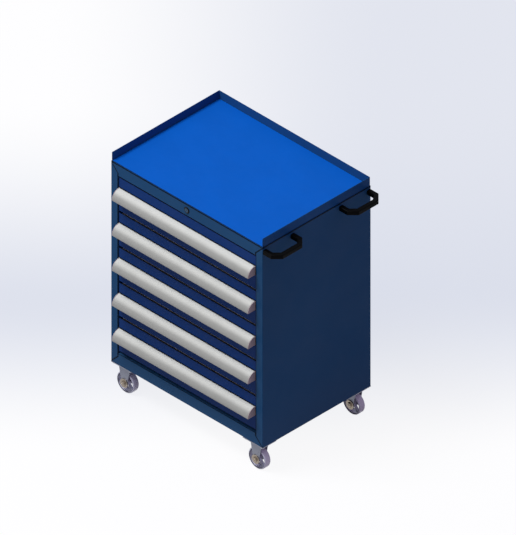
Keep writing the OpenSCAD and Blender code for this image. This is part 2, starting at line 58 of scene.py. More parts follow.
# Sizes on the front frame and the lock, as in the CAD
STILE_WIDTH = 0.032
RAIL_HEIGHT = 0.045
KEY_PLATE_RADIUS = 0.006
COLLAR_RADIUS = 0.010

# The rubber washer around the collar of the lock
WASHER_RADIUS = 0.0118
WASHER_THICKNESS = 0.0012
WASHER_SEGMENTS = 48

# How far edges are rounded, from crisp cuts in sheet metal to the tread of the wheels
CRISP = 0.0003
FINE = 0.0004
EASED = 0.0005
ROUNDED = 0.0006
SOFT = 0.0007
TREAD = 0.0014
ROUNDING_SEGMENTS = 2

# Angles and lengths that tell flat from folded and rounded from sharp
FOLD_ANGLE = math.radians(32)
SMOOTH_ANGLE = math.radians(50)
FLAT_ANGLE = math.radians(0.5)
MERGE_DISTANCE = 2e-6
FACING_AXLE = 0.98

# Colours as they look on the cabinet, in display values from 0 to 255
BODY_BLUE = (32, 75, 117)
FRONT_BLUE = (20, 55, 116)
TRAY_BLUE = (29, 77, 130)
MAT_BLUE = (1, 87, 185)
MAT_RUBBED = (30, 106, 205)
BOX_GREY = (206, 209, 213)
UPRIGHT_GREY = (146, 151, 158)
BARE_STEEL = (150, 152, 156)
ZINC = (186, 190, 196)
PULL_SILVER = (207, 209, 204)
CAP_MAUVE = (172, 162, 163)
CAP_RUBBED = (150, 140, 146)
GRIP_BLACK = (2, 2, 3)
GRIP_RUBBED = (12, 12, 14)
FORK_GREY = (138, 142, 156)
WHEEL_LILAC = (206, 208, 229)
WHEEL_RUBBED = (34, 32, 40)
HUB_BEIGE = (156, 145, 132)
LOCK_NICKEL = (46, 82, 113)
NYLON_DARK = (42, 42, 45)
NYLON_RUBBED = (80, 80, 84)
DUST = (150, 146, 138)
# The dark colour that dirt and painted shade turn the finishes towards
DIRT_AND_SHADE_DARK = (5, 6, 9)
FLOOR_WHITE = (254, 254, 255)
FLOOR_LILAC = (219, 223, 235)
WALL_PALE = (246, 248, 255)
WALL_MAUVE = (255, 206, 255)

# How far dirt and painted shade reach from a joint, and how strongly they cover the finish there
DIRT_AND_SHADE_START = 0.0015
DIRT_AND_SHADE_REACH = 0.0042
DIRT_AND_SHADE_COVER = 0.93
# How deep the painted shadow reaches on the drawers' flanges, in the gaps above the drawers
FLANGE_SHADE_DEPTH = 0.0055
# Painted shade on the lower half of the pulls, and the shares of their height over which it fades
PULL_SHADE_STRENGTH = 0.44
PULL_SHADE_FADE_SHARES = (0.5, 0.95)
# How much darker the flat flanks of the wheels are, and in what patches
FLANK_DARKENING = 0.5
FLANK_PATCHES = (0.6, 1.2)

# The floor's own share of light, and how much of it the camera sees as even paint
FLOOR_SHARE = 0.35
FLOOR_GLOW = 0.8
FLOOR_STRENGTH = 1.165
FLOOR_REACH = 40.0

# Where the floor turns lilac: behind the cabinet, and less so far off to the left
LILAC_NEAR = (-0.4, 1.0)
LILAC_FAR = (0.6, 2.5)
LILAC_LEFT = (-0.95, 0.7)
LILAC_LEFT_SHARES = (1.0, 0.2)

# The strength of the studio's walls, as a light and as they are seen
WORLD_LIGHT = 0.35
WORLD_SEEN = 0.85

# The directions to the right between which the walls turn mauve
MAUVE_SIDE = (0.1, 0.9)

# One large softbox, high up in front of the cabinet and a little to the left
KEY_PLACE = (-2.8, -4.72, 11.46)
KEY_AIM = (0, 0, 0.5)
KEY_SIZE = 4.4
KEY_POWER = 1241

# The photograph's middle, level with the body's top: right of its left edge, before its front
VIEW_RIGHT = 0.7664
VIEW_FRONT = 0.0876

# How much the camera takes in, how far off it stands and how far it sees
VIEW_SPAN = 1.7473
VIEW_DISTANCE = 8.0
VIEW_REACH = 100.0


def linear(rgb):
    """A display colour from 0 to 255 as a linear colour with alpha, by the standard sRGB curve."""
    def channel(value):
        share = value / 255
        if share <= 0.04045:
            return share / 12.92
        return ((share + 0.055) / 1.055) ** 2.4
    return tuple(channel(value) for value in rgb) + (1.0,)


# Shader groups shared by the materials

def new_group(name, inputs, outputs):
    """An empty shader group with named sockets, and its two end nodes."""
    group = bpy.data.node_groups.new(name, "ShaderNodeTree")
    for title, kind, value in inputs:
        socket = group.interface.new_socket(name=title, in_out="INPUT", socket_type=kind)
        if value is not None:
            socket.default_value = value
    for title, kind in outputs:
        group.interface.new_socket(name=title, in_out="OUTPUT", socket_type=kind)
    start = group.nodes.new("NodeGroupInput")
    end = group.nodes.new("NodeGroupOutput")
    return group, start, end


class Wiring:
    """Short calls that place and join the nodes of one tree."""

    # The part of a noise between its usual lows and highs
    NOISE_MIDDLE = (0.3, 0.7)

    def __init__(self, tree):
        self.tree = tree

    def node(self, kind, **settings):
        """A new node with its settings."""
        made = self.tree.nodes.new(kind)
        for name, value in settings.items():
            setattr(made, name, value)
        return made

    def join(self, source, target):
        """A link from an output to an input."""
        self.tree.links.new(source, target)

    def feed(self, socket, value):
        """Gives an input a fixed value, or joins it to an output."""
        if isinstance(value, bpy.types.NodeSocket):
            self.join(value, socket)
        else:
            socket.default_value = value

    def math(self, operation, first, second=0.0, clamp=False):
        """One sum on two numbers."""
        made = self.node("ShaderNodeMath", operation=operation, use_clamp=clamp)
        self.feed(made.inputs[0], first)
        self.feed(made.inputs[1], second)
        return made.outputs[0]

    def wrap(self, value, high, low):
        """A number brought between two others by whole steps."""
        made = self.node("ShaderNodeMath", operation="WRAP")
        self.feed(made.inputs[0], value)
        self.feed(made.inputs[1], high)
        self.feed(made.inputs[2], low)
        return made.outputs[0]

    def noise(self, coordinates, scale=1.0, detail=2.0, rough=0.5):
        """Cloudy noise with a number of waves in each metre."""
        made = self.node("ShaderNodeTexNoise")
        self.join(coordinates, made.inputs["Vector"])
        made.inputs["Scale"].default_value = scale
        made.inputs["Detail"].default_value = detail
        made.inputs["Roughness"].default_value = rough
        return made.outputs["Fac"]

    def ramp(self, value, low, high, to_low=0.0, to_high=1.0):
        """A soft step from one number to another while the value goes from low to high."""
        made = self.node("ShaderNodeMapRange", interpolation_type="SMOOTHSTEP")
        self.feed(made.inputs["Value"], value)
        made.inputs["From Min"].default_value = low
        made.inputs["From Max"].default_value = high
        made.inputs["To Min"].default_value = to_low
        made.inputs["To Max"].default_value = to_high
        return made.outputs["Result"]

    def spread(self, noise, low, high):
        """The middle of a noise spread between two numbers."""
        return self.ramp(noise, *self.NOISE_MIDDLE, low, high)

    def split(self, vector):
        """The three coordinates of a vector."""
        made = self.node("ShaderNodeSeparateXYZ")
        self.join(vector, made.inputs[0])
        return made.outputs

    def offset(self, place, middle):
        """How far a place lies from a middle, along each axis."""
        made = self.node("ShaderNodeVectorMath", operation="SUBTRACT")
        self.join(place, made.inputs[0])
        self.feed(made.inputs[1], middle)
        return self.split(made.outputs["Vector"])

    def past(self, coordinate, half):
        """How far a coordinate lies outside a span around zero, negative inside it."""
        return self.math("SUBTRACT", self.math("ABSOLUTE", coordinate), half)

    def stretch(self, coordinates, scale):
        """Coordinates with a number of waves in each metre along each axis."""
        made = self.node("ShaderNodeMapping")
        self.join(coordinates, made.inputs["Vector"])
        made.inputs["Scale"].default_value = scale
        return made.outputs["Vector"]

    def blend(self, factor, first, second):
        """The first colour, turning into the second as the factor grows."""
        made = self.node("ShaderNodeMix", data_type="RGBA")
        self.feed(made.inputs["Factor"], factor)
        self.feed(made.inputs["A"], first)
        self.feed(made.inputs["B"], second)
        return made.outputs["Result"]

    def shade(self, colour, factor):
        """The colour made lighter or darker by a factor around one."""
        made = self.node("ShaderNodeVectorMath", operation="SCALE")
        self.feed(made.inputs[0], colour)
        self.feed(made.inputs["Scale"], factor)
        return made.outputs["Vector"]

    def soil_and_shade(self, dirt, colour):
        """The colour under a cover of dirt and painted shade."""
        return self.blend(self.math("MULTIPLY", dirt, DIRT_AND_SHADE_COVER), colour, linear(DIRT_AND_SHADE_DARK))

    def face_mark(self, name):
        """A mark that the faces of a piece carry."""
        return self.node("ShaderNodeAttribute", attribute_name=name).outputs["Fac"]


FLOAT = "NodeSocketFloat"
COLOUR = "NodeSocketColor"
VECTOR = "NodeSocketVector"
FINISH_OUTPUTS = (("Color", COLOUR), ("Roughness", FLOAT), ("Height", FLOAT))

# A pitch far longer than the cabinet, for an outline that stands alone
ALONE = 100.0


def joint_dirt_and_shade_group():
    """Dirt and painted shade in the joints around a rectangle, or around a row of them along Z."""
    group, start, end = new_group(
        "joint_dirt_and_shade",
        (
            ("Place", VECTOR, None),
            ("Middle", VECTOR, None),
            ("Half", VECTOR, None),
            ("Pitch", FLOAT, ALONE),
        ),
        (("Dirt", FLOAT),),
    )
    w = Wiring(group)
    pitch = start.outputs["Pitch"]
    offset = w.offset(start.outputs["Place"], start.outputs["Middle"])
    half = w.split(start.outputs["Half"])
    nearest = w.wrap(offset["Z"], w.math("MULTIPLY", pitch, 0.5), w.math("MULTIPLY", pitch, -0.5))
    across = w.past(offset["X"], half["X"])
    along = w.past(nearest, half["Z"])
    outline = w.math("ABSOLUTE", w.math("MAXIMUM", across, along))
    dirt = w.ramp(outline, DIRT_AND_SHADE_START, DIRT_AND_SHADE_REACH, 1.0, 0.0)
    deep = w.math("LESS_THAN", w.past(offset["Y"], half["Y"]), 0.0)
    w.join(w.math("MULTIPLY", dirt, deep), end.inputs["Dirt"])
    return group


# The powder coat: its tones and shine, its worn edges, its scuffs and its dust
PAINT_TONES = (0.955, 1.045)
PAINT_SHINE = (-0.05, 0.06)
RUB_CLOUDS = (0.35, 0.7)
RUB_COVER = (0.15, 0.6)
RUB_LIGHTER = 1.5
CHIP_SPECKS = (0.6, 0.66)
CHIP_DEPTH = 1.5
SCUFFS_ALONG = (14.0, 90.0, 260.0)
SCUFFS_ACROSS = (120.0, 16.0, 340.0)
SCUFFS_ALONG_CUT = (0.72, 0.78)
SCUFFS_ACROSS_CUT = (0.73, 0.79)
SCUFF_COVER = 0.16
DUST_HEIGHTS = (0.1, 0.3)
DUST_COVER = 0.035
DUST_PATCHES = (0.3, 1.0)
DUST_DULLS = 0.8


def powder_coat_group():
    """Baked powder coat: fine orange peel, faint tone changes, worn edges, scuffs and dust."""
    group, start, end = new_group(
        "powder_coat",
        (
            ("Place", VECTOR, None),
            ("Paint", COLOUR, None),
            ("Worn", COLOUR, None),
            ("Edge", FLOAT, 0.0),
            ("Dullness", FLOAT, 0.4),
            ("Wear", FLOAT, 0.5),
            # Dirt brings in dirt and painted shade from the joints and seams, and painted shadow
            # at the drawer flanges
            ("Dirt", FLOAT, 0.0),
        ),
        FINISH_OUTPUTS,
    )
    w = Wiring(group)
    place = start.outputs["Place"]
    wear = start.outputs["Wear"]
    tone = w.spread(w.noise(place, scale=2.2, detail=3.0), *PAINT_TONES)
    clouds = w.noise(place, scale=11.0, detail=5.0, rough=0.6)
    paint = w.shade(start.outputs["Paint"], tone)
    # Rubbed edges first turn lighter, then show bare steel in a few chips
    rub = w.math("MULTIPLY", start.outputs["Edge"], wear)
    rubbed = w.math("MULTIPLY", rub, w.ramp(clouds, *RUB_CLOUDS, *RUB_COVER))
    lighter = w.shade(start.outputs["Paint"], RUB_LIGHTER)
    specks = w.noise(place, scale=95.0, detail=4.0, rough=0.65)
    chips = w.math("MULTIPLY", rub, w.ramp(specks, *CHIP_SPECKS))
    # Long thin scuffs, laid in two directions
    along = w.ramp(w.noise(w.stretch(place, SCUFFS_ALONG), detail=3.0), *SCUFFS_ALONG_CUT)
    across = w.ramp(w.noise(w.stretch(place, SCUFFS_ACROSS), detail=3.0), *SCUFFS_ACROSS_CUT)
    scuffs = w.math("MAXIMUM", along, across)
    scuffs = w.math("MULTIPLY", scuffs, w.math("MULTIPLY", wear, SCUFF_COVER))
    colour = w.blend(rubbed, paint, lighter)
    colour = w.blend(scuffs, colour, lighter)
    colour = w.blend(chips, colour, start.outputs["Worn"])
    # A little dust gathers low on the cabinet, and dirt and painted shade lie in the joints
    low = w.ramp(w.split(place)["Z"], *DUST_HEIGHTS, DUST_COVER, 0.0)
    dust = w.math("MULTIPLY", low, w.spread(clouds, *DUST_PATCHES))
    colour = w.soil_and_shade(start.outputs["Dirt"], w.blend(dust, colour, linear(DUST)))
    dull = w.math("ADD", start.outputs["Dullness"], w.spread(clouds, *PAINT_SHINE))
    dull = w.math("ADD", dull, w.math("MULTIPLY", dust, DUST_DULLS), clamp=True)
    peel = w.noise(place, scale=620.0)
    w.join(colour, end.inputs["Color"])
    w.join(dull, end.inputs["Roughness"])
    w.join(w.math("SUBTRACT", peel, w.math("MULTIPLY", chips, CHIP_DEPTH)), end.inputs["Height"])
    return group


# Drawn and plated metal: its cloudy stains, its fine lines and its polished edges
METAL_TONES = (0.97, 1.02)
METAL_SHINE = (-0.06, 0.08)
LINE_TONE = 0.25
LINE_DULLS = 0.3
EDGE_TONE = 0.08
NOISE_MEAN = 0.5


def metal_group():
    """Drawn or plated metal: fine lines along the stretched direction and soft cloudy stains."""
    group, start, end = new_group(
        "drawn_metal",
        (
            ("Place", VECTOR, None),
            ("Lines", VECTOR, None),
            ("Metal", COLOUR, None),
            ("Edge", FLOAT, 0.0),
            ("Dullness", FLOAT, 0.35),
            ("Grain", FLOAT, 0.5),
            # Dirt brings in dirt and painted shade at the top of the pulls, painted shade over
            # their lower half, and the blackened collar of the lock
            ("Dirt", FLOAT, 0.0),
        ),
        FINISH_OUTPUTS,
    )
    w = Wiring(group)
    grain = start.outputs["Grain"]
    lines = w.noise(start.outputs["Lines"], detail=3.0, rough=0.6)
    clouds = w.noise(start.outputs["Place"], scale=26.0, detail=5.0, rough=0.6)
    line_tone = w.math("MULTIPLY", w.math("SUBTRACT", lines, NOISE_MEAN), grain)
    tone = w.math("ADD", w.spread(clouds, *METAL_TONES), w.math("MULTIPLY", line_tone, LINE_TONE))
    tone = w.math("ADD", tone, w.math("MULTIPLY", start.outputs["Edge"], EDGE_TONE))
    colour = w.soil_and_shade(start.outputs["Dirt"], w.shade(start.outputs["Metal"], tone))
    dull = w.math("ADD", start.outputs["Dullness"], w.spread(clouds, *METAL_SHINE))
    dull = w.math("ADD", dull, w.math("MULTIPLY", line_tone, LINE_DULLS), clamp=True)
    w.join(colour, end.inputs["Color"])
    w.join(dull, end.inputs["Roughness"])
    w.join(w.math("MULTIPLY", lines, grain), end.inputs["Height"])
    return group


# Moulded plastic: its flow marks, its shine and its rubbed edges
FLOW_MARKS = (6.0, 9.0, 22.0)
PLASTIC_TONES = (0.97, 1.03)
PLASTIC_SHINE = (-0.05, 0.05)
PLASTIC_RUB_CLOUDS = (0.35, 0.65)
PLASTIC_RUB_COVER = (0.2, 0.7)


def plastic_group():
    """Moulded plastic or rubber: pebbled grain, faint flow marks and rubbed edges."""
    group, start, end = new_group(
        "moulded_plastic",
        (
            ("Place", VECTOR, None),
            ("Plastic", COLOUR, None),
            ("Rubbed", COLOUR, None),
            ("Edge", FLOAT, 0.0),
            ("Dullness", FLOAT, 0.5),
            ("Pebble", FLOAT, 900.0),
            # Dirt brings in dirt and painted shade at the joints of the mat, and the darker flanks
            # of the wheels
            ("Dirt", FLOAT, 0.0),
        ),
        FINISH_OUTPUTS,
    )
    w = Wiring(group)
    place = start.outputs["Place"]
    flow = w.noise(w.stretch(place, FLOW_MARKS), detail=4.0, rough=0.6)
    clouds = w.noise(place, scale=40.0, detail=4.0)
    colour = w.shade(start.outputs["Plastic"], w.spread(flow, *PLASTIC_TONES))
    cover = w.ramp(clouds, *PLASTIC_RUB_CLOUDS, *PLASTIC_RUB_COVER)
    rub = w.math("MULTIPLY", start.outputs["Edge"], cover)
    colour = w.soil_and_shade(start.outputs["Dirt"], w.blend(rub, colour, start.outputs["Rubbed"]))
    shine = w.spread(clouds, *PLASTIC_SHINE)
    dull = w.math("ADD", start.outputs["Dullness"], shine, clamp=True)
    pebbles = w.node("ShaderNodeTexVoronoi", feature="SMOOTH_F1")
    w.join(place, pebbles.inputs["Vector"])
    w.join(start.outputs["Pebble"], pebbles.inputs["Scale"])
    w.join(colour, end.inputs["Color"])
    w.join(dull, end.inputs["Roughness"])
    w.join(pebbles.outputs["Distance"], end.inputs["Height"])
    return group


JOINT_DIRT_AND_SHADE = joint_dirt_and_shade_group()
POWDER_COAT = powder_coat_group()
DRAWN_METAL = metal_group()
MOULDED_PLASTIC = plastic_group()


# Where joints run: rectangles that dirt and painted shade gather around

# How far dirt lies behind and before a flat joint, and a depth past the whole cabinet
THIN = 0.002
DEEP = 10.0


def standing(low, high, pitch=ALONE):
    """The outline that a box shows from the front, alone or in a row along Z."""
    return (low + high) / 2, (high - low) / 2, pitch, False


def lying(low, high):
    """The outline that a box shows from above."""
    middle, half, pitch, _ = standing(low, high)
    return middle.xzy, half.xzy, pitch, True


body_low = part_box("side_panel_left")[0]
body_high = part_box("side_panel_right")[1]
front_low, front_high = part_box("drawer_front_1")
pull_low, pull_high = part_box("drawer_pull_1")
caps_low, caps_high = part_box("pull_end_caps_1")
box_low, box_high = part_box("drawer_box_1")
tray_low, tray_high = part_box("top_tray")
lock_low, lock_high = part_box("lock_housing")
drawer_pitch = front_high.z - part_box("drawer_front_2")[1].z

OPENING_JOINT = standing(
    Vector((body_low.x + STILE_WIDTH, body_low.y - THIN, body_low.z + RAIL_HEIGHT)),
    Vector((body_high.x - STILE_WIDTH, body_low.y + THIN, body_high.z - RAIL_HEIGHT)),
)
TRAY_JOINT = lying(
    Vector((tray_low.x, tray_low.y, body_high.z - THIN)),
    Vector((tray_high.x, tray_high.y, body_high.z + THIN)),
)
FRONT_JOINT = standing(front_low, front_high, drawer_pitch)
PULL_JOINT = standing(
    Vector((caps_low.x, front_low.y - THIN, pull_low.z)),
    Vector((caps_high.x, front_high.y, pull_high.z)),
    drawer_pitch,
)
PULL_TOP_JOINT = lying(
    Vector((pull_low.x, front_low.y, -DEEP)),
    Vector((pull_high.x, front_high.y, DEEP)),
)
MAT_JOINT = lying(*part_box("top_mat"))
# The front edge of a drawer's flange, which shows in the gap above the drawer, with painted shadow
# on it
FLANGE_SHADE_EDGE = standing(
    Vector((box_low.x, box_low.y - THIN, box_high.z)),
    Vector((box_high.x, box_low.y + FLANGE_SHADE_DEPTH, box_high.z)),
    drawer_pitch,
)


def mitre_dirt_and_shade(w, place):
    """Dirt and painted shade in the slanting seams at the corners of the front frame."""
    half = (body_high - body_low) / 2
    offset = w.offset(place, (body_low + body_high) / 2)
    from_side = w.math("MULTIPLY", w.past(offset["X"], half.x), -1.0)
    from_end = w.math("MULTIPLY", w.past(offset["Z"], half.z), -1.0)
    seam = w.math("MINIMUM", from_end, STILE_WIDTH)
    across = w.math("ABSOLUTE", w.math("SUBTRACT", from_side, seam))
    dirt = w.ramp(across, DIRT_AND_SHADE_START, DIRT_AND_SHADE_REACH, 1.0, 0.0)
    dirt = w.math("MULTIPLY", dirt, w.math("LESS_THAN", from_end, RAIL_HEIGHT))
    return w.math("MULTIPLY", dirt, w.math("LESS_THAN", offset["Y"], THIN - half.y))


def pull_painted_shade(w, place):
    """Painted shade over the lower half of every pull, fading out towards its top."""
    above = w.wrap(w.math("SUBTRACT", w.split(place)["Z"], pull_low.z), drawer_pitch, 0.0)
    start, end = (share * (pull_high.z - pull_low.z) for share in PULL_SHADE_FADE_SHARES)
    return w.ramp(above, start, end, PULL_SHADE_STRENGTH, 0.0)


def flank_darkening(w, place):
    """The flat flanks of the wheels darker in patches, and their rounded edges darker still."""
    patches = w.spread(w.noise(place, scale=70.0, detail=3.0), *FLANK_PATCHES)
    flat = w.math("MULTIPLY", w.math("MULTIPLY", w.face_mark(FLANK), patches), FLANK_DARKENING)
    return w.math("MAXIMUM", flat, w.face_mark(EDGE))


def collar_dirt(w, place):
    """The blackened collar around the key plate of the lock."""
    onto_front = Vector((1.0, 0.0, 1.0))
    across = w.node("ShaderNodeVectorMath", operation="MULTIPLY_ADD")
    w.join(place, across.inputs[0])
    across.inputs[1].default_value = onto_front
    across.inputs[2].default_value = (lock_low + lock_high) / 2 * -onto_front
    from_axis = w.node("ShaderNodeVectorMath", operation="LENGTH")
    w.join(across.outputs["Vector"], from_axis.inputs[0])
    return w.ramp(from_axis.outputs["Value"], KEY_PLATE_RADIUS, KEY_PLATE_RADIUS + DIRT_AND_SHADE_START)


def joint_dirt_and_shade(w, place, outlines, special):
    """The strongest of the marks of dirt and painted shade on one material."""
    marks = [special(w, place)] if special else []
    for middle, half, pitch, flat in outlines:
        mark = w.node("ShaderNodeGroup", node_tree=JOINT_DIRT_AND_SHADE)
        mark.inputs["Middle"].default_value = middle
        mark.inputs["Half"].default_value = half
        mark.inputs["Pitch"].default_value = pitch
        if flat:
            parts = w.split(place)
            turned = w.node("ShaderNodeCombineXYZ")
            for source, target in zip("XZY", "XYZ"):
                w.join(parts[source], turned.inputs[target])
            w.join(turned.outputs[0], mark.inputs["Place"])
        else:
            w.join(place, mark.inputs["Place"])
        marks.append(mark.outputs["Dirt"])
    strongest = marks[0]
    for mark in marks[1:]:
        strongest = w.math("MAXIMUM", strongest, mark)
    return strongest


# Materials

def new_material(name):
    """A material with its Principled shader, and the wiring of its tree."""
    material = bpy.data.materials.new(name)
    material.use_nodes = True
    shader = material.node_tree.nodes["Principled BSDF"]
    return material, shader, Wiring(material.node_tree)


def finish_with(w, shader, group, values, relief, joints, special):
    """Places a finish group, gives it its values and joins it to the shader."""
    finish = w.node("ShaderNodeGroup", node_tree=group)
    place = w.node("ShaderNodeTexCoord").outputs["Object"]
    w.join(place, finish.inputs["Place"])
    if joints or special:
        w.join(joint_dirt_and_shade(w, place, joints, special), finish.inputs["Dirt"])
    w.join(w.face_mark(EDGE), finish.inputs["Edge"])
    for title, value in values.items():
        finish.inputs[title].default_value = value
    bump = w.node("ShaderNodeBump")
    bump.inputs["Strength"].default_value, bump.inputs["Distance"].default_value = relief
    w.join(finish.outputs["Height"], bump.inputs["Height"])
    w.join(finish.outputs["Color"], shader.inputs["Base Color"])
    w.join(finish.outputs["Roughness"], shader.inputs["Roughness"])
    w.join(bump.outputs["Normal"], shader.inputs["Normal"])
    return finish, place


# The strength and height of each finish's relief, and the little gloss of the paint
PAINT_RELIEF = (0.12, 0.0003)
METAL_RELIEF = (0.15, 0.0002)
PLASTIC_RELIEF_HEIGHT = 0.0003
PAINT_SPECULAR = 0.04


def painted(name, colour, wear, dullness=0.42, joints=(), special=None):
    """Powder-coated sheet metal."""
    material, shader, w = new_material(name)
    values = {
        "Paint": linear(colour),
        "Worn": linear(BARE_STEEL),
        "Dullness": dullness,
        "Wear": wear,
    }
    finish_with(w, shader, POWDER_COAT, values, PAINT_RELIEF, joints, special)
    shader.inputs["Specular IOR Level"].default_value = PAINT_SPECULAR
    return material


def metal(
    name, colour, lines, dullness, grain, metallic=1.0, specular=0.5, joints=(), special=None
):
    """Bare, plated or anodised metal with lines along one direction, or grain all ways."""
    material, shader, w = new_material(name)
    values = {"Metal": linear(colour), "Dullness": dullness, "Grain": grain}
    finish, place = finish_with(w, shader, DRAWN_METAL, values, METAL_RELIEF, joints, special)
    w.join(w.stretch(place, lines), finish.inputs["Lines"])
    shader.inputs["Metallic"].default_value = metallic
    shader.inputs["Specular IOR Level"].default_value = specular
    return material


def plastic(
    name, colour, rubbed, dullness=0.5, pebble=900.0, bump=0.15, specular=0.3,
    joints=(), special=None
):
    """Moulded plastic or rubber, with the number of pebbles in each metre of its grain."""
    material, shader, w = new_material(name)
    values = {
        "Plastic": linear(colour),
        "Rubbed": linear(rubbed),
        "Dullness": dullness,
        "Pebble": pebble,
    }
    relief = (bump, PLASTIC_RELIEF_HEIGHT)
    finish_with(w, shader, MOULDED_PLASTIC, values, relief, joints, special)
    shader.inputs["Specular IOR Level"].default_value = specular
    return material


# The directions in which metal was drawn, as waves in each metre along the axes
ALONG_X = (5.0, 900.0, 900.0)
ALONG_Y = (900.0, 5.0, 900.0)
ALL_WAYS = (240.0, 240.0, 240.0)

MATERIALS = {
    "body_blue": painted(
        "body_paint",
        BODY_BLUE,
        wear=0.25,
        joints=(OPENING_JOINT, TRAY_JOINT),
        special=mitre_dirt_and_shade,
    ),
    "drawer_blue": painted(
        "drawer_front_paint", FRONT_BLUE, wear=0.25, joints=(FRONT_JOINT, PULL_JOINT)
    ),
    "tray_blue": painted("tray_paint", TRAY_BLUE, wear=0.12),
    "box_grey": painted(
        "drawer_box_paint", BOX_GREY, wear=0.3, dullness=0.5, joints=(FLANGE_SHADE_EDGE,)
    ),
    "inner_grey": painted("upright_paint", UPRIGHT_GREY, wear=0.3, dullness=0.5),
    "mat_blue": plastic(
        "top_mat_rubber",
        MAT_BLUE,
        MAT_RUBBED,
        dullness=0.7,
        pebble=420.0,
        bump=0.2,
        specular=0.08,
        joints=(MAT_JOINT,),
    ),
    "pull_aluminium": metal(
        "anodised_pull",
        PULL_SILVER,
        ALONG_X,
        dullness=0.5,
        grain=0.25,
        metallic=0.0,
        specular=0.12,
        joints=(PULL_TOP_JOINT,),
        special=pull_painted_shade,
    ),
    "cap_plastic": plastic("pull_cap_plastic", CAP_MAUVE, CAP_RUBBED),
    "handle_black": plastic(
        "push_handle_nylon", GRIP_BLACK, GRIP_RUBBED, pebble=1100.0, specular=0.04
    ),
    "slide_zinc": metal("slide_zinc_plate", ZINC, ALONG_Y, dullness=0.3, grain=0.5),
    "caster_grey": metal(
        "caster_zinc_plate", FORK_GREY, ALL_WAYS, dullness=0.42, grain=0.5, metallic=0.5
    ),
    "wheel_grey": plastic(
        "wheel_nylon",
        WHEEL_LILAC,
        WHEEL_RUBBED,
        dullness=0.35,
        pebble=1300.0,
        bump=0.06,
        special=flank_darkening,
    ),
    "hub_nickel": metal(
        "hub_nut_plate", HUB_BEIGE, ALL_WAYS, dullness=0.22, grain=0.4, metallic=0.9
    ),
    "screw_zinc": metal("screw_zinc_plate", ZINC, ALL_WAYS, dullness=0.3, grain=0.4),
    "lock_chrome": metal(
        "lock_nickel",
        LOCK_NICKEL,
        ALL_WAYS,
        dullness=0.3,
        grain=0.3,
        metallic=0.2,
        specular=0.2,
        special=collar_dirt,
    ),
    "guide_plastic": plastic("guide_nylon", NYLON_DARK, NYLON_RUBBED),
}


# Making pieces

NODE_BODY = {
    node: body
    for body, nodes in frame["record"]["behaviour"]["bodies"].items()
    for node in nodes
}
NODE_SLOT = {row["node"]: row["material_slot"] for row in frame["record"]["subparts"]}


def add_piece(name, bm, node, material=None):
    """Turns a bmesh into a piece that belongs to one CAD node and rides on its body."""
    mesh = bpy.data.meshes.new(name)
    bm.to_mesh(mesh)
    bm.free()
    mesh.polygons.foreach_set("use_smooth", [True] * len(mesh.polygons))
    mesh.set_sharp_from_angle(angle=SMOOTH_ANGLE)
    slot = NODE_SLOT[node]
    mesh.materials.append(material or MATERIALS[slot])
    piece = bpy.data.objects.new(name, mesh)
    bpy.context.scene.collection.objects.link(piece)
    # Large flat faces keep their own normal beside the rounded edges
    even = piece.modifiers.new("even_shading", "WEIGHTED_NORMAL")
    even.keep_sharp = True
    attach(piece, NODE_BODY[node])
    return piece


def node_bmesh(node):
    """A merged copy of a CAD node's mesh with its flat faces joined."""
    bm = bmesh.new()
    bm.from_mesh(frame["nodes"][node].data)
    for layer in list(bm.loops.layers.uv.values()):
        bm.loops.layers.uv.remove(layer)
    bmesh.ops.remove_doubles(bm, verts=bm.verts[:], dist=MERGE_DISTANCE)
    bmesh.ops.dissolve_limit(
        bm,
        angle_limit=FLAT_ANGLE,
        use_dissolve_boundaries=False,
        verts=bm.verts[:],
        edges=bm.edges[:],
    )
    return bm


def joined_edges(edges):
    """Groups of edges that meet end to end, each in the order in which they are reached."""
    sharp, taken, groups = set(edges), set(), []
    for first in edges:
        if first in taken:
            continue
        taken.add(first)
        group = [first]
        for edge in group:
            for other in (near for vert in edge.verts for near in vert.link_edges):
                if other in sharp and other not in taken:
                    taken.add(other)
                    group.append(other)
        groups.append(group)
    return groups


def soften_edges(bm, width):
    """Rounds every sharp edge and marks the new faces, so that wear can find them.

    Edges that don't meet are rounded apart, so that a tight spot thins only its own group.
    """
    worn = bm.faces.layers.float.new(EDGE)
    sharp = [
        edge for edge in bm.edges
        if len(edge.link_faces) == 2 and edge.calc_face_angle(0.0) > FOLD_ANGLE
    ]
    for group in joined_edges(sharp):
        rounded = bmesh.ops.bevel(
            bm,
            geom=group,
            offset=width,
            offset_type="OFFSET",
            segments=ROUNDING_SEGMENTS,
            profile=0.5,
            material=-1,
            affect="EDGES",
            clamp_overlap=True,
        )
        for face in rounded["faces"]:
            face[worn] = 1.0
    return bm


def mark_flanks(bm):
    """Marks the flat faces that look along the axle."""
    flank = bm.faces.layers.float.new(FLANK)
    for face in bm.faces:
        if abs(face.normal.y) > FACING_AXLE:
            face[flank] = 1.0


def dress(node, width, flanks=False):
    """The node's own shape with rounded edges, and with its flanks marked if it is a wheel."""
    bm = soften_edges(node_bmesh(node), width)
    if flanks:
        mark_flanks(bm)
    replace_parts(add_piece(node + "_finished", bm, node), node)


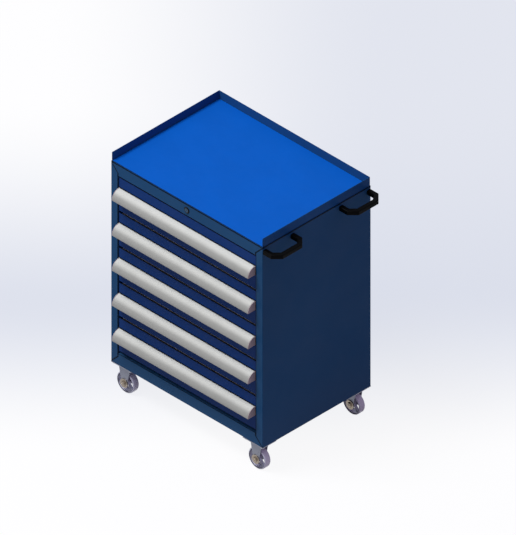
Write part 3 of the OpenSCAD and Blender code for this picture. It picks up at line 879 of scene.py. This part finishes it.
for sheet in ("side_panel_left", "side_panel_right", "back_panel", "base_pan", "roof_panel"):
    dress(sheet, CRISP)
dress("top_tray", FINE)
dress("top_mat", SOFT)
for number in DRAWERS:
    dress(f"drawer_box_{number}", CRISP)
    dress(f"drawer_front_{number}", ROUNDED)
    dress(f"drawer_pull_{number}", FINE)
    dress(f"pull_end_caps_{number}", ROUNDED)
    dress(f"inner_slides_{number}", CRISP)
    dress(f"middle_slides_{number}", CRISP)
dress("outer_slides", CRISP)
dress("slide_uprights", CRISP)
dress("push_handle_front", FINE)
dress("push_handle_rear", FINE)
for corner in CORNERS:
    dress(f"caster_fork_{corner}", EASED)
    dress(f"caster_wheel_{corner}", TREAD, flanks=True)
    dress(f"caster_axle_{corner}", ROUNDED)
dress("caster_plates", FINE)
dress("lock_housing", EASED)
dress("lock_cylinder", CRISP)


def new_verts(made):
    """The vertices among what an operator made."""
    return [item for item in made["geom"] if isinstance(item, bmesh.types.BMVert)]


def add_lock_washer():
    """The rubber washer that shows as a dark ring around the collar of the lock."""
    bm = bmesh.new()
    bmesh.ops.create_circle(bm, cap_ends=False, segments=WASHER_SEGMENTS, radius=COLLAR_RADIUS)
    outer = new_verts(bmesh.ops.extrude_edge_only(bm, edges=bm.edges[:]))
    bmesh.ops.scale(bm, verts=outer, vec=Vector((1, 1, 0)) * (WASHER_RADIUS / COLLAR_RADIUS))
    raised = new_verts(bmesh.ops.extrude_face_region(bm, geom=bm.faces[:]))
    bmesh.ops.translate(bm, verts=raised, vec=(0, 0, WASHER_THICKNESS))
    bmesh.ops.recalc_face_normals(bm, faces=bm.faces[:])
    soften_edges(bm, CRISP)
    bmesh.ops.rotate(bm, verts=bm.verts[:], matrix=Matrix.Rotation(math.pi / 2, 3, "X"))
    middle = (lock_low + lock_high) / 2
    bmesh.ops.translate(bm, verts=bm.verts[:], vec=(middle.x, body_low.y, middle.z))
    add_piece("lock_washer", bm, "lock_housing", MATERIALS["handle_black"])


add_lock_washer()

# The nodes that stay as they are, such as the screws and the lock bar, take their finish too
for node, thing in frame["nodes"].items():
    thing.data.materials.clear()
    thing.data.materials.append(MATERIALS[NODE_SLOT[node]])


# Camera, light and floor

def add_camera():
    """The photograph's view: straight down the diagonal of a cube, with no perspective."""
    low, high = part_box("roof_panel")
    towards = Vector((1, -1, 1)).normalized()
    looked_at = Vector((low.x + VIEW_RIGHT, low.y - VIEW_FRONT, high.z))
    data = bpy.data.cameras.new("photo_camera")
    data.type = "ORTHO"
    data.ortho_scale = VIEW_SPAN
    data.clip_end = VIEW_REACH
    camera = bpy.data.objects.new("photo_camera", data)
    camera.location = looked_at + towards * VIEW_DISTANCE
    camera.rotation_euler = (-towards).to_track_quat("-Z", "Y").to_euler()
    bpy.context.scene.collection.objects.link(camera)
    bpy.context.scene.camera = camera


def add_softbox(name, place, aim, size, power):
    """A square lamp that looks at a point."""
    data = bpy.data.lights.new(name, "AREA")
    data.shape = "SQUARE"
    data.size = size
    data.energy = power
    box = bpy.data.objects.new(name, data)
    box.location = place
    box.rotation_euler = (Vector(aim) - Vector(place)).to_track_quat("-Z", "Y").to_euler()
    bpy.context.scene.collection.objects.link(box)


def seen_rays(w):
    """One for rays of the camera, of gloss and of glass, and zero for rays that light things."""
    rays = w.node("ShaderNodeLightPath")
    seen = w.math("MAXIMUM", rays.outputs["Is Camera Ray"], rays.outputs["Is Glossy Ray"])
    return w.math("MAXIMUM", seen, rays.outputs["Is Transmission Ray"])


def floor_material():
    """Floor paint, white in front and faintly lilac behind, that keeps a soft shadow."""
    material, shader, w = new_material("pale_floor")
    place = w.split(w.node("ShaderNodeTexCoord").outputs["Object"])
    behind = w.math("SUBTRACT", place["Y"], place["X"])
    aside = w.math("ADD", place["X"], place["Y"])
    far_left = w.math(
        "MULTIPLY",
        w.ramp(behind, *LILAC_FAR),
        w.ramp(aside, *LILAC_LEFT, *LILAC_LEFT_SHARES),
    )
    lilac = w.math("MULTIPLY", w.ramp(behind, *LILAC_NEAR), w.math("SUBTRACT", 1.0, far_left))
    colour = w.blend(lilac, linear(FLOOR_WHITE), linear(FLOOR_LILAC))
    w.join(w.shade(colour, FLOOR_SHARE), shader.inputs["Base Color"])
    shader.inputs["Roughness"].default_value = 1.0
    shader.inputs["Specular IOR Level"].default_value = 0.0
    glow = w.node("ShaderNodeEmission")
    w.join(colour, glow.inputs["Color"])
    glow.inputs["Strength"].default_value = FLOOR_STRENGTH
    mixed = w.node("ShaderNodeMixShader")
    w.join(w.math("MULTIPLY", seen_rays(w), FLOOR_GLOW), mixed.inputs[0])
    w.join(shader.outputs[0], mixed.inputs[1])
    w.join(glow.outputs[0], mixed.inputs[2])
    w.join(mixed.outputs[0], w.tree.nodes["Material Output"].inputs["Surface"])
    return material


def add_floor():
    """The plain pale floor that the cabinet stands on."""
    bm = bmesh.new()
    bmesh.ops.create_grid(bm, x_segments=1, y_segments=1, size=FLOOR_REACH)
    mesh = bpy.data.meshes.new("floor")
    bm.to_mesh(mesh)
    bm.free()
    mesh.materials.append(floor_material())
    floor = bpy.data.objects.new("floor", mesh)
    bpy.context.scene.collection.objects.link(floor)


def add_world():
    """A pale studio that lights the right side with a little mauve, brighter where it is seen."""
    world = bpy.data.worlds.new("studio")
    world.use_nodes = True
    sky = world.node_tree.nodes["Background"]
    w = Wiring(world.node_tree)
    towards = w.split(w.node("ShaderNodeTexCoord").outputs["Generated"])
    seen = seen_rays(w)
    mauve = w.math("MULTIPLY", w.ramp(towards["X"], *MAUVE_SIDE), w.math("SUBTRACT", 1.0, seen))
    w.join(w.blend(mauve, linear(WALL_PALE), linear(WALL_MAUVE)), sky.inputs["Color"])
    extra = w.math("MULTIPLY", seen, WORLD_SEEN - WORLD_LIGHT)
    w.join(w.math("ADD", extra, WORLD_LIGHT), sky.inputs["Strength"])
    bpy.context.scene.world = world


add_camera()
add_softbox("key", KEY_PLACE, KEY_AIM, KEY_SIZE, KEY_POWER)
add_floor()
add_world()
bpy.context.scene.view_settings.view_transform = "Standard"
